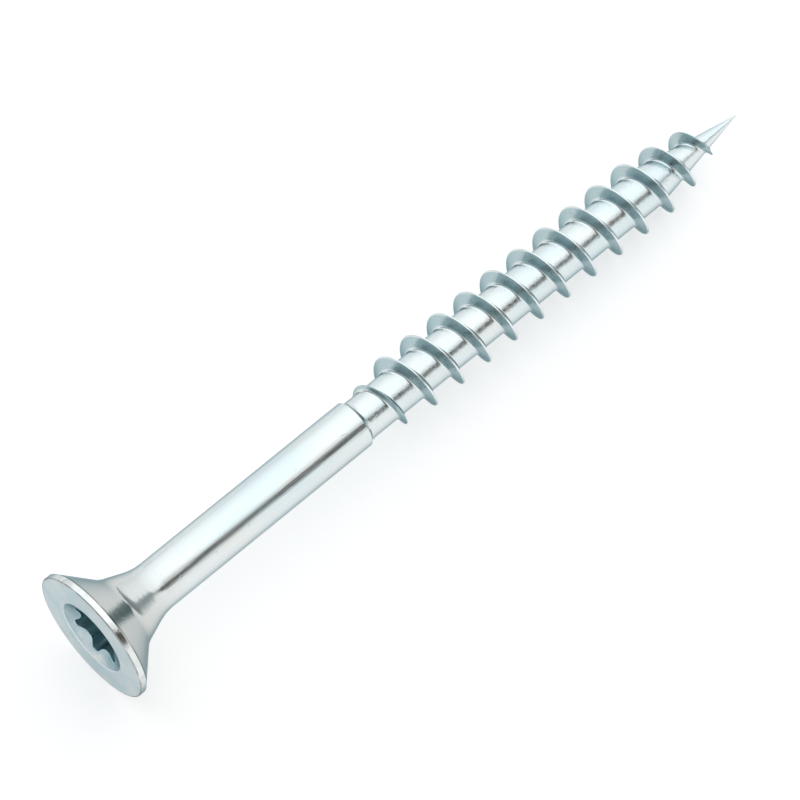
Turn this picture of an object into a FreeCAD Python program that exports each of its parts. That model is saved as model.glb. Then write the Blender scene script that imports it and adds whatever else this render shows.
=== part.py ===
"""Countersunk wood screw, 5.0 x 60 mm, partly threaded, with a six-lobe recess.

The screw is one forged and rolled piece of steel. It is drawn upright, with the head's face at
z = 0 and the point along +Z, and is then laid down as it comes to rest on a table: on the rim of
its head and on two crests of its thread, with its axis over +X.
"""
import FreeCAD, Part
import math
import os

import Sketcher

from FreeCAD import Placement, Rotation, Vector

# Driving dimensions in millimetres, and in degrees where the name says angle
SIZES = {
    "screw_length": 60.0,
    "head_diameter": 10.0,
    "head_angle": 90.0,
    "rim_land": 0.45,
    "rim_chamfer": 0.08,
    "neck_diameter": 5.4,
    "neck_length": 2.35,
    "neck_blend": 2.0,
    "shank_diameter": 3.6,
    "shank_blend": 4.0,
    "step_length": 0.25,
    "thread_length": 36.0,
    "thread_diameter": 5.0,
    "thread_pitch": 2.5,
    "core_diameter": 3.1,
    "flank_angle": 40.0,
    "crest_width": 0.1,
    "runout_length": 4.0,
    "point_length": 8.5,
    "fade_length": 2.6,
    "bare_point_length": 2.0,
    "tip_diameter": 0.08,
    "recess_width": 4.5,
    "recess_root_width": 3.25,
    "lobe_rounding": 0.38,
    "recess_depth": 2.6,
    "recess_bottom_diameter": 3.0,
    "recess_bottom_angle": 120.0,
    "dish_diameter": 5.8,
    "dish_slope_angle": 22.0,
}

# Stations along the axis and radii, as expressions of the driving dimensions
HEAD_RADIUS = "sizes.head_diameter / 2"
NECK_RADIUS = "sizes.neck_diameter / 2"
SHANK_RADIUS = "sizes.shank_diameter / 2"
CORE_RADIUS = "sizes.core_diameter / 2"
CONE_END = f"sizes.rim_land + ({HEAD_RADIUS} - {NECK_RADIUS}) / tan(sizes.head_angle / 2)"
NECK_END = f"{CONE_END} + sizes.neck_length"
THREAD_START = "sizes.screw_length - sizes.thread_length"
STEP_START = f"{THREAD_START} - sizes.step_length"
THREAD_END = "sizes.screw_length - sizes.bare_point_length"

RECESS_LOBES = 6
RAIL_SAMPLES_PER_TURN = 15
FULL_TURN = 2 * math.pi
SAME_LENGTH = 1e-6
SAME_ANGLE = 1e-3


def fill_sheet(doc):
    """Write each driving dimension into a named cell."""
    sheet = doc.addObject("Spreadsheet::Sheet", "sizes")
    for row, (name, value) in enumerate(SIZES.items(), start=1):
        sheet.set(f"A{row}", name)
        sheet.set(f"B{row}", str(value))
        sheet.setAlias(f"B{row}", name)
    doc.recompute()
    return sheet


def read(owner, expression):
    """The plain number that an expression of the driving dimensions gives."""
    return float(owner.evalExpression(expression))


def new_sketch(body, role, name):
    """An empty sketch on one of the body's own origin planes."""
    sketch = body.newObject("Sketcher::SketchObject", name)
    plane = next(item for item in body.Origin.OriginFeatures if item.Role == role)
    sketch.AttachmentSupport = (plane, [""])
    sketch.MapMode = "FlatFace"
    return sketch


def pin_point(sketch, geometry, end, across, along):
    """Fix one end point by its distances from the sketch's origin, bound to expressions."""
    for kind, axis, expression in (("DistanceX", -2, across), ("DistanceY", -1, along)):
        if expression == "0":
            sketch.addConstraint(Sketcher.Constraint("PointOnObject", geometry, end, axis))
            continue
        value = read(sketch, expression)
        index = sketch.addConstraint(Sketcher.Constraint(kind, -1, 1, geometry, end, value))
        sketch.setExpression(f"Constraints[{index}]", expression)


def draw_outline(sketch, corners):
    """A closed outline of straight lines through (across, along) pairs of expressions."""
    points = [Vector(read(sketch, across), read(sketch, along), 0) for across, along in corners]
    count = len(points)
    for index in range(count):
        line = Part.LineSegment(points[index], points[(index + 1) % count])
        sketch.addGeometry(line, False)
    for index in range(count):
        following = (index + 1) % count
        sketch.addConstraint(Sketcher.Constraint("Coincident", index, 2, following, 1))
    for index, (across, along) in enumerate(corners):
        pin_point(sketch, index, 1, across, along)


def turned(body, kind, name, corners):
    """A Revolution or a Groove of an outline about the screw's axis."""
    sketch = new_sketch(body, "XZ_Plane", f"{name}_outline")
    draw_outline(sketch, corners)
    feature = body.newObject(f"PartDesign::{kind}", name)
    feature.Profile = sketch
    feature.ReferenceAxis = (sketch, ["V_Axis"])
    feature.Angle = 360.0
    body.Document.recompute()
    return feature


def rounded_ring(body, name, base, radius, station, rounding):
    """A fillet along the circular edge that lies at this radius and station on the axis."""
    wanted = (read(base, radius), read(base, station))
    edges = []
    for index, edge in enumerate(base.Shape.Edges, start=1):
        if not isinstance(edge.Curve, Part.Circle):
            continue
        found = (edge.Curve.Radius, edge.Curve.Center.z)
        if math.dist(found, wanted) < SAME_LENGTH:
            edges.append(f"Edge{index}")
    fillet = body.newObject("PartDesign::Fillet", name)
    fillet.Base = (base, edges)
    fillet.setExpression("Radius", rounding)
    body.Document.recompute()
    return fillet


def forged_blank(body):
    """Head, two-stage countersink, shank and the step down to the thread's core."""
    blank = turned(body, "Revolution", "blank", [
        ("0", "0"),
        (f"{HEAD_RADIUS} - sizes.rim_chamfer", "0"),
        (HEAD_RADIUS, "sizes.rim_chamfer"),
        (HEAD_RADIUS, "sizes.rim_land"),
        (NECK_RADIUS, CONE_END),
        (SHANK_RADIUS, NECK_END),
        (SHANK_RADIUS, STEP_START),
        (CORE_RADIUS, THREAD_START),
        ("0", THREAD_START),
    ])
    neck = rounded_ring(body, "neck_blend", blank, NECK_RADIUS, CONE_END, "sizes.neck_blend")
    rounded_ring(body, "shank_blend", neck, SHANK_RADIUS, NECK_END, "sizes.shank_blend")


def lobe_outline(sketch):
    """One lobe of the recess: a rounded tip between two flutes, closed inside the recess."""
    outer = read(sketch, "sizes.recess_width / 2")
    root = read(sketch, "sizes.recess_root_width / 2")
    tip_radius = read(sketch, "sizes.lobe_rounding")
    half_step = math.pi / RECESS_LOBES
    tip_center = outer - tip_radius
    # The flute's circle touches the lobe's circle and passes through the root point
    spread = tip_center ** 2 + root ** 2 - 2 * tip_center * root * math.cos(half_step)
    reach = tip_radius - root + tip_center * math.cos(half_step)
    flute_radius = (spread - tip_radius ** 2) / (2 * reach)
    flute_center = Vector(math.cos(half_step), math.sin(half_step), 0) * (root + flute_radius)
    center = Vector(tip_center, 0, 0)
    touch = center + (flute_center - center) * (tip_radius / (tip_radius + flute_radius))
    root_point = Vector(math.cos(half_step), math.sin(half_step), 0) * root
    touch_angle = math.atan2(touch.y, touch.x - tip_center)
    axis = Vector(0, 0, 1)
    flute_start = math.atan2(root_point.y - flute_center.y, root_point.x - flute_center.x)
    flute_stop = math.atan2(touch.y - flute_center.y, touch.x - flute_center.x)
    flute_start += FULL_TURN
    flute_stop += FULL_TURN
    mirrored_center = Vector(flute_center.x, -flute_center.y, 0)
    inner_point = Vector(-root / 2, 0, 0)
    mirrored_root = Vector(root_point.x, -root_point.y, 0)
    sketch.addGeometry([
        Part.ArcOfCircle(Part.Circle(center, axis, tip_radius), -touch_angle, touch_angle),
        Part.ArcOfCircle(Part.Circle(flute_center, axis, flute_radius), flute_start, flute_stop),
        Part.ArcOfCircle(Part.Circle(mirrored_center, axis, flute_radius),
                         FULL_TURN - flute_stop, FULL_TURN - flute_start),
        Part.LineSegment(root_point, inner_point),
        Part.LineSegment(inner_point, mirrored_root),
    ], False)
    ray = sketch.addGeometry(Part.LineSegment(Vector(), flute_center), True)
    sketch.addConstraint([
        Sketcher.Constraint("Tangent", 0, 2, 1, 2),
        Sketcher.Constraint("Tangent", 0, 1, 2, 1),
        Sketcher.Constraint("Coincident", 1, 1, 3, 1),
        Sketcher.Constraint("Coincident", 3, 2, 4, 1),
        Sketcher.Constraint("Coincident", 4, 2, 2, 2),
        Sketcher.Constraint("PointOnObject", 0, 3, -1),
        Sketcher.Constraint("PointOnObject", 3, 2, -1),
        Sketcher.Constraint("Coincident", ray, 1, -1, 1),
        Sketcher.Constraint("Coincident", ray, 2, 1, 3),
        Sketcher.Constraint("PointOnObject", 1, 1, ray),
        Sketcher.Constraint("Equal", 1, 2),
        Sketcher.Constraint("Symmetric", 1, 1, 2, 2, -1),
        Sketcher.Constraint("Angle", -1, 1, ray, 1, half_step),
    ])
    bound = [
        (Sketcher.Constraint("Radius", 0, tip_radius), "sizes.lobe_rounding"),
        (Sketcher.Constraint("DistanceX", -1, 1, 0, 3, tip_center),
         "sizes.recess_width / 2 - sizes.lobe_rounding"),
        (Sketcher.Constraint("Distance", -1, 1, 1, 1, root), "sizes.recess_root_width / 2"),
        (Sketcher.Constraint("DistanceX", 3, 2, -1, 1, root / 2), "sizes.recess_root_width / 4"),
    ]
    for constraint, expression in bound:
        index = sketch.addConstraint(constraint)
        sketch.setExpression(f"Constraints[{index}]", expression)


def drive_recess(body):
    """Six lobes cut by a pattern, a conical bottom and the round dish at the mouth."""
    sketch = new_sketch(body, "XY_Plane", "lobe_outline")
    lobe_outline(sketch)
    lobe = body.newObject("PartDesign::Pocket", "lobe")
    lobe.Profile = sketch
    lobe.Type = "Length"
    lobe.Reversed = True
    lobe.setExpression("Length", "sizes.recess_depth")
    body.Document.recompute()
    lobes = body.newObject("PartDesign::PolarPattern", "lobes")
    lobes.Originals = [lobe]
    lobes.Axis = (sketch, ["N_Axis"])
    lobes.Angle = 360.0
    lobes.Occurrences = RECESS_LOBES
    body.Tip = lobes
    body.Document.recompute()
    bottom_radius = "sizes.recess_bottom_diameter / 2"
    turned(body, "Groove", "recess_bottom", [
        ("0", "sizes.recess_depth"),
        (bottom_radius, "sizes.recess_depth"),
        ("0", f"sizes.recess_depth + {bottom_radius} / tan(sizes.recess_bottom_angle / 2)"),
    ])
    return turned(body, "Groove", "recess_dish", [
        ("0", "0"),
        ("sizes.dish_diameter / 2", "0"),
        ("0", "sizes.dish_diameter / 2 * tan(sizes.dish_slope_angle)"),
    ])


class Thread:
    """The rolled thread and point: a ridge that grows from the core and fades along the point."""

    def __init__(self, sheet, rest_station):
        self.rest_station = rest_station
        self.start = read(sheet, THREAD_START)
        self.end = read(sheet, THREAD_END)
        self.pitch = sheet.thread_pitch
        self.core = sheet.core_diameter / 2
        self.full_height = (sheet.thread_diameter - sheet.core_diameter) / 2
        self.crest_half = sheet.crest_width / 2
        self.flank_slope = math.tan(math.radians(sheet.flank_angle / 2))
        self.runout = sheet.runout_length
        self.fade = sheet.fade_length
        self.tip = sheet.tip_diameter / 2
        self.length = sheet.screw_length
        self.point_length = sheet.point_length
        self.point_start = sheet.screw_length - sheet.point_length
        self.first_angle = self.angle_at(self.start)
        self.last_angle = self.angle_at(self.end)

    def angle_at(self, station):
        """Angle of the ridge at a station: zero, the underside, where the screw rests on it."""
        return FULL_TURN * (station - self.rest_station) / self.pitch

    def station_at(self, angle):
        """Station of the ridge at an angle."""
        return self.rest_station + self.pitch * angle / FULL_TURN

    def core_radius(self, station):
        """Straight core, then a cone to the tip."""
        share = max(0.0, (station - self.point_start) / self.point_length)
        return self.core + (self.tip - self.core) * share

    def ridge_height(self, station):
        """Nothing at either end, full in between."""
        growing = (station - self.start) / self.runout
        fading = (self.end - station) / self.fade
        return self.full_height * max(0.0, min(1.0, growing, fading))

    def section(self, angle):
        """The ridge's four corners in the plane through the axis at this angle."""
        station = self.station_at(angle)
        height = self.ridge_height(station)
        crest_half = self.crest_half * height / self.full_height
        base_half = crest_half + height * self.flank_slope
        corners = []
        for shift, lift in ((-base_half, 0), (-crest_half, height), (crest_half, height), (base_half, 0)):
            foot = self.core_radius(station + shift) if lift == 0 else self.core_radius(station)
            radius = foot + lift
            corners.append(Vector(radius * math.cos(angle), radius * math.sin(angle), station + shift))
        return corners

    def sample_angles(self):
        """Even steps that count from the underside of the last full crest, and both ends."""
        step = FULL_TURN / RAIL_SAMPLES_PER_TURN
        first = math.ceil(self.first_angle / step + 0.5)
        last = math.floor(self.last_angle / step - 0.5)
        return [self.first_angle] + [step * index for index in range(first, last + 1)] + [self.last_angle]

    def rails(self):
        """The four curves that the ridge's corners follow."""
        angles = self.sample_angles()
        sections = [self.section(angle) for angle in angles]
        curves = []
        for corner in zip(*sections):
            curve = Part.BSplineCurve()
            curve.interpolate(Points=list(corner), Parameters=angles)
            curves.append(curve)
        return curves

    def breaks(self):
        """Angles one turn apart, counted from both ends, where the strips are parted."""
        turns = int((self.last_angle - self.first_angle) / FULL_TURN)
        angles = [self.first_angle + FULL_TURN * turn for turn in range(turns + 1)]
        angles += [self.last_angle - FULL_TURN * turn for turn in range(turns + 1)]
        kept = []
        for angle in sorted(angles):
            if not kept or angle - kept[-1] > SAME_ANGLE:
                kept.append(angle)
        return kept

    @staticmethod
    def stretch(curve, first, last):
        """The edge that a curve makes between two angles."""
        if isinstance(curve, Part.Circle):
            return curve.toShape(first, last)
        part = curve.copy()
        part.segment(first, last)
        return part.toShape()

    def solid(self):
        """Ruled strips over the ridge and the core between its turns, closed by two flat ends."""
        rails = self.rails()
        start_circle = Part.Circle(Vector(0, 0, self.start), Vector(0, 0, 1), self.core_radius(self.start))
        end_circle = Part.Circle(Vector(0, 0, self.end), Vector(0, 0, 1), self.core_radius(self.end))
        tip_circle = Part.Circle(Vector(0, 0, self.length), Vector(0, 0, 1), self.tip)
        faces = []
        start_ring = []
        tip_ring = []
        breaks = self.breaks()
        for ends in zip(breaks, breaks[1:]):
            ridge = [self.stretch(rail, *ends) for rail in rails]
            faces += [Part.makeRuledSurface(near, far, 1) for near, far in zip(ridge, ridge[1:])]
            if ends[0] < self.first_angle + FULL_TURN - SAME_ANGLE:
                ring = self.stretch(start_circle, *ends)
                start_ring.append(ring)
                faces.append(Part.makeRuledSurface(ring, ridge[0], 1))
            if ends[1] < self.last_angle - FULL_TURN + SAME_ANGLE:
                next_foot = self.stretch(rails[0], *(angle + FULL_TURN for angle in ends))
                faces.append(Part.makeRuledSurface(ridge[-1], next_foot, 1))
            else:
                ring = self.stretch(end_circle, *ends)
                tip_ring.append(self.stretch(tip_circle, *ends))
                faces.append(Part.makeRuledSurface(ridge[-1], ring, 1))
                faces.append(Part.makeRuledSurface(ring, tip_ring[-1], 1))
        faces += [Part.Face(Part.Wire(ring)) for ring in (start_ring, tip_ring)]
        shell = Part.Shell(faces)
        shell.sewShape()
        solid = Part.Solid(Part.Shell(shell.Faces))
        if solid.Volume < 0:
            solid.reverse()
        return solid


def resting_line(sheet):
    """Slope of the underside against the axis, and the station of the crest that it touches.

    The screw lies steady where two crests touch the table: the last one of full size and the next
    one, on the point. The line through both also touches the rim of the head at the land's edge,
    which gives a quadratic equation for its slope.
    """
    point_start = sheet.screw_length - sheet.point_length
    point_slope = (sheet.core_diameter - sheet.tip_diameter) / 2 / sheet.point_length
    drop = (sheet.head_diameter - sheet.thread_diameter) / 2
    run = point_start - sheet.thread_pitch + sheet.crest_width / 2 - sheet.rim_land
    gain = sheet.thread_pitch / point_slope
    slope = (math.sqrt(run ** 2 + 4 * gain * drop) - run) / (2 * gain)
    return slope, point_start - sheet.thread_pitch + gain * slope


def resting_place(sheet):
    """Tilt about Y and position that lay the screw on the rim of its head and its thread."""
    slope, rest_station = resting_line(sheet)
    tilt = math.atan(slope)
    head_radius = sheet.head_diameter / 2
    height = head_radius * math.cos(tilt) + sheet.rim_land * math.sin(tilt)
    back = -(head_radius - sheet.rim_chamfer) * math.sin(tilt)
    front = sheet.screw_length * math.cos(tilt) + sheet.tip_diameter / 2 * math.sin(tilt)
    turn = Rotation(Vector(0, 1, 0), 90 + math.degrees(tilt))
    return Placement(Vector(-(back + front) / 2, 0, height), turn)


def build():
    """Make the document and write the screw's shape."""
    doc = FreeCAD.newDocument("wood_screw")
    sheet = fill_sheet(doc)

    body = doc.addObject("PartDesign::Body", "head_and_shank")
    forged_blank(body)
    drive_recess(body)

    thread = doc.addObject("Part::Feature", "thread")
    rest_station = resting_line(sheet)[1]
    thread.Shape = Thread(sheet, rest_station).solid()

    screw = doc.addObject("Part::Fuse", "whole_screw")
    screw.Base = body
    screw.Tool = thread
    screw.Label = "wood_screw"
    screw.Placement = resting_place(sheet)
    doc.recompute()
    return doc, screw


def check(doc, screw):
    """Stop if a feature failed or the screw isn't one sound solid."""
    for item in doc.Objects:
        if {"Invalid", "Error"} & set(item.State):
            raise RuntimeError(f"{item.Name} failed: {item.State}")
    shape = screw.Shape
    if shape.isNull() or not shape.isValid() or len(shape.Solids) != 1:
        raise RuntimeError("the screw isn't one valid solid")


def main():
    doc, screw = build()
    check(doc, screw)
    os.makedirs("parts", exist_ok=True)
    screw.Shape.exportStep(f"parts/{screw.Label}.step")
    box = screw.Shape.BoundBox
    size = f"{box.XLength:.2f} x {box.YLength:.2f} x {box.ZLength:.2f} mm"
    print(f"{screw.Label}: {screw.Shape.Volume:.2f} mm3, {size}")


if __name__ == "__main__":
    main()
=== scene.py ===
"""Looks of a countersunk wood screw: the plated steel piece, a pale table and soft studio light.

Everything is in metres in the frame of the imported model. The screw's own sizes are in millimetres,
measured along its axis from the face of its head, and are laid down as the model lies.
"""

import logging
import math
from dataclasses import dataclass
from enum import Enum

import bpy
import numpy as np
from mathutils import Matrix, Vector


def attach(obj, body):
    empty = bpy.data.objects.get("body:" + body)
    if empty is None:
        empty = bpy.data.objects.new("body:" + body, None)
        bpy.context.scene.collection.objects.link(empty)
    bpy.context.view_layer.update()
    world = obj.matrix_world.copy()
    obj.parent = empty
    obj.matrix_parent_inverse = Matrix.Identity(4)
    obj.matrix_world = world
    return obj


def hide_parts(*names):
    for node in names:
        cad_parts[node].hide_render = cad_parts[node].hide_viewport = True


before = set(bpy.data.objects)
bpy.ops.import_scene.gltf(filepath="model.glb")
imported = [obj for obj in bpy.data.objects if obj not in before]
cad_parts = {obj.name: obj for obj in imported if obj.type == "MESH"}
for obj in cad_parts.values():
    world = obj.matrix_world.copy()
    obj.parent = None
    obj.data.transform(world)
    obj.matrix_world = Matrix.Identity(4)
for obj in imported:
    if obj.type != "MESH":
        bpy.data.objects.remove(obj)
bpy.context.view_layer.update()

LOG = logging.getLogger("wood_screw")
FULL_TURN = 2 * math.pi
MM = 0.001
STEPS_PER_TURN = 180
RING_ANGLES = np.arange(STEPS_PER_TURN) * FULL_TURN / STEPS_PER_TURN
LEAST_NORMAL = 1e-30

Socket = bpy.types.NodeSocket
Inputs = dict[int | str, object]
Triple = tuple[float, float, float]
Colour = tuple[float, float, float, float]

# Kinds and default values of the inputs that the node groups share.
PLACE = ("Vector", None)
DISTANCE = ("Float", 0.0)


@dataclass(frozen=True)
class ScrewSizes:
    """Sizes of the screw in millimetres, and in degrees where the name says angle."""

    length: float = 60.0
    head_radius: float = 5.0
    head_angle: float = 90.0
    rim_land: float = 0.45
    rim_rounding: float = 0.09
    neck_radius: float = 2.7
    neck_length: float = 2.35
    neck_blend: float = 2.0
    shank_radius: float = 1.8
    shank_blend: float = 4.0
    step_length: float = 0.25
    thread_length: float = 36.0
    thread_radius: float = 2.5
    pitch: float = 2.5
    core_radius: float = 1.55
    flank_angle: float = 40.0
    crest_width: float = 0.1
    runout_length: float = 4.0
    point_length: float = 8.5
    fade_length: float = 2.6
    bare_point_length: float = 2.0
    tip_radius: float = 0.04
    lobe_reach: float = 2.25
    lobe_root: float = 1.625
    lobe_rounding: float = 0.38
    lobes: int = 6
    recess_depth: float = 2.6
    bottom_radius: float = 1.5
    bottom_angle: float = 120.0
    dish_radius: float = 2.9
    dish_angle: float = 22.0

    @property
    def cone_end(self) -> float:
        """Station where the cone under the head meets the neck."""
        spread = math.tan(math.radians(self.head_angle / 2))
        return self.rim_land + (self.head_radius - self.neck_radius) / spread

    @property
    def neck_end(self) -> float:
        """Station where the neck meets the shank."""
        return self.cone_end + self.neck_length

    @property
    def thread_start(self) -> float:
        """Station where the thread begins."""
        return self.length - self.thread_length

    @property
    def thread_end(self) -> float:
        """Station where the thread has faded out on the point."""
        return self.length - self.bare_point_length

    @property
    def point_start(self) -> float:
        """Station where the core begins to taper."""
        return self.length - self.point_length

    @property
    def ridge_height(self) -> float:
        """Full height of the thread over its core."""
        return self.thread_radius - self.core_radius

    @property
    def dish_slope(self) -> float:
        """Fall of the dish towards its middle."""
        return math.tan(math.radians(self.dish_angle))


@dataclass(frozen=True)
class RestingPlace:
    """How the screw lies: on the rim of its head and on two crests, with its axis over +X."""

    sizes: ScrewSizes

    @property
    def gain(self) -> float:
        """How far down the point the second crest touches, for each unit of slope."""
        s = self.sizes
        return s.pitch / ((s.core_radius - s.tip_radius) / s.point_length)

    @property
    def slope(self) -> float:
        """Slope of the axis at which the rim and both crests touch the table.

        Returns:
            The drop for each unit of length.
        """
        s = self.sizes
        run = s.point_start - s.pitch + s.crest_width / 2 - s.rim_land
        drop = s.head_radius - s.thread_radius
        return (math.sqrt(run ** 2 + 4 * self.gain * drop) - run) / (2 * self.gain)

    @property
    def crest_station(self) -> float:
        """Station of the ridge where it passes the underside and touches the table."""
        s = self.sizes
        return s.point_start - s.pitch + self.gain * self.slope

    @property
    def tilt(self) -> float:
        """Angle in radians by which the point hangs lower than the head."""
        return math.atan(self.slope)

    @property
    def along(self) -> Vector:
        """Direction of the axis from head to point."""
        return Vector((math.cos(self.tilt), 0, -math.sin(self.tilt)))

    @property
    def down(self) -> Vector:
        """Direction across the axis on which the screw rests."""
        return Vector((-math.sin(self.tilt), 0, -math.cos(self.tilt)))

    @property
    def base(self) -> Vector:
        """Centre of the head's face.

        Returns:
            The point in metres, for a screw that lies centred over the origin.
        """
        s = self.sizes
        height = s.head_radius * math.cos(self.tilt) + s.rim_land * math.sin(self.tilt)
        back = -s.head_radius * math.sin(self.tilt)
        front = s.length * math.cos(self.tilt) + s.tip_radius * math.sin(self.tilt)
        return Vector((-(back + front) / 2, 0, height)) * MM

    def laid(self, points: np.ndarray) -> np.ndarray:
        """Rows of across, across and along in millimetres, laid in the model's frame in metres."""
        axes = np.array([self.down, (0, 1, 0), self.along])
        return np.array(self.base) + points @ axes * MM


class Zone(Enum):
    """Areas of the screw that differ in how they were formed, in the order of their materials."""

    FACE = 0
    DISH = 1
    RECESS = 2
    FLARE = 3
    SHANK = 4
    THREAD = 5


class Skin:
    """Vertices and faces that are gathered before they become one mesh."""

    def __init__(self) -> None:
        """Starts without points and faces."""
        self.rows: list[np.ndarray] = []
        self.count = 0
        self.faces: list[tuple[int, ...]] = []
        self.zones: list[int] = []

    def add_points(self, points: np.ndarray) -> np.ndarray:
        """Stores rows of points.

        Args:
            points: Rows of three numbers in millimetres.

        Returns:
            The index of each stored point.
        """
        self.rows.append(points)
        first = self.count
        self.count += len(points)
        return np.arange(first, self.count)

    def add_axis_point(self, station: float) -> int:
        """Stores one point on the axis and gives its index."""
        return int(self.add_points(np.array([[0, 0, station]]))[0])

    def add_ring(self, radius: np.ndarray | float, station: np.ndarray | float) -> np.ndarray:
        """Stores one ring of points about the axis.

        Args:
            radius: One radius, or one for each step of the turn.
            station: One station along the axis, or one for each step.

        Returns:
            The indices of the ring's points.
        """
        radius = np.broadcast_to(radius, RING_ANGLES.shape)
        station = np.broadcast_to(station, RING_ANGLES.shape)
        return self.add_points(
            np.column_stack((radius * np.cos(RING_ANGLES), radius * np.sin(RING_ANGLES), station)))

    def add_face(self, corners: tuple[int, ...], zone: Zone) -> None:
        """Stores a face, without corners that fall together.

        Args:
            corners: Indices of the face's points in order.
            zone: The area that the face belongs to.
        """
        kept = [int(c) for i, c in enumerate(corners) if c != corners[i - 1]]
        if len(set(kept)) >= 3:
            self.faces.append(tuple(kept))
            self.zones.append(zone.value)

    def bridge(self, near: np.ndarray, far: np.ndarray, zone: Zone) -> None:
        """Joins two rings by a band of four-sided faces.

        Args:
            near: Indices of the ring that comes first from inside the recess to the point.
            far: Indices of the next ring.
            zone: The area that the band belongs to.
        """
        count = len(near)
        for i in range(count):
            j = (i + 1) % count
            self.add_face((near[i], near[j], far[j], far[i]), zone)

    def cap(self, ring: np.ndarray, centre: int, zone: Zone, inside: bool) -> None:
        """Closes a ring by a fan of triangles.

        Args:
            ring: Indices of the ring.
            centre: Index of the point in its middle.
            zone: The area that the fan belongs to.
            inside: True at the recess's bottom, False at the point.
        """
        for here, following in zip(ring, np.roll(ring, -1)):
            pair = (following, here) if inside else (here, following)
            self.add_face((*pair, centre), zone)

    @staticmethod
    def normals(points: np.ndarray, faces: list[tuple[int, ...]]) -> np.ndarray:
        """Normals at the points, which the large faces round a point lead.

        Args:
            points: Rows of three numbers.
            faces: The corners of each face.

        Returns:
            One row of length one for each point.
        """
        triangles = np.array([(f[0], f[k], f[k + 1]) for f in faces for k in range(1, len(f) - 1)])
        a, b, c = (points[triangles[:, k]] for k in range(3))
        weighted = np.cross(b - a, c - a)
        normals = np.zeros_like(points)
        for k in range(3):
            np.add.at(normals, triangles[:, k], weighted)
        return normals / np.maximum(np.linalg.norm(normals, axis=1, keepdims=True), LEAST_NORMAL)

    def mesh(self, name: str, place: RestingPlace) -> bpy.types.Mesh:
        """Makes the mesh from the points that the faces use.

        Args:
            name: Name of the mesh.
            place: How the screw lies.

        Returns:
            The finished mesh.
        """
        used = sorted({corner for face in self.faces for corner in face})
        moved = dict(zip(used, range(len(used))))
        faces = [tuple(moved[corner] for corner in face) for face in self.faces]
        points = place.laid(np.vstack(self.rows)[used])
        mesh = bpy.data.meshes.new(name)
        mesh.from_pydata(points.tolist(), [], faces)
        mesh.polygons.foreach_set("material_index", self.zones)
        mesh.polygons.foreach_set("use_smooth", [True] * len(faces))
        mesh.validate()
        mesh.normals_split_custom_set_from_vertices(self.normals(points, faces).tolist())
        mesh.update()
        return mesh


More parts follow.
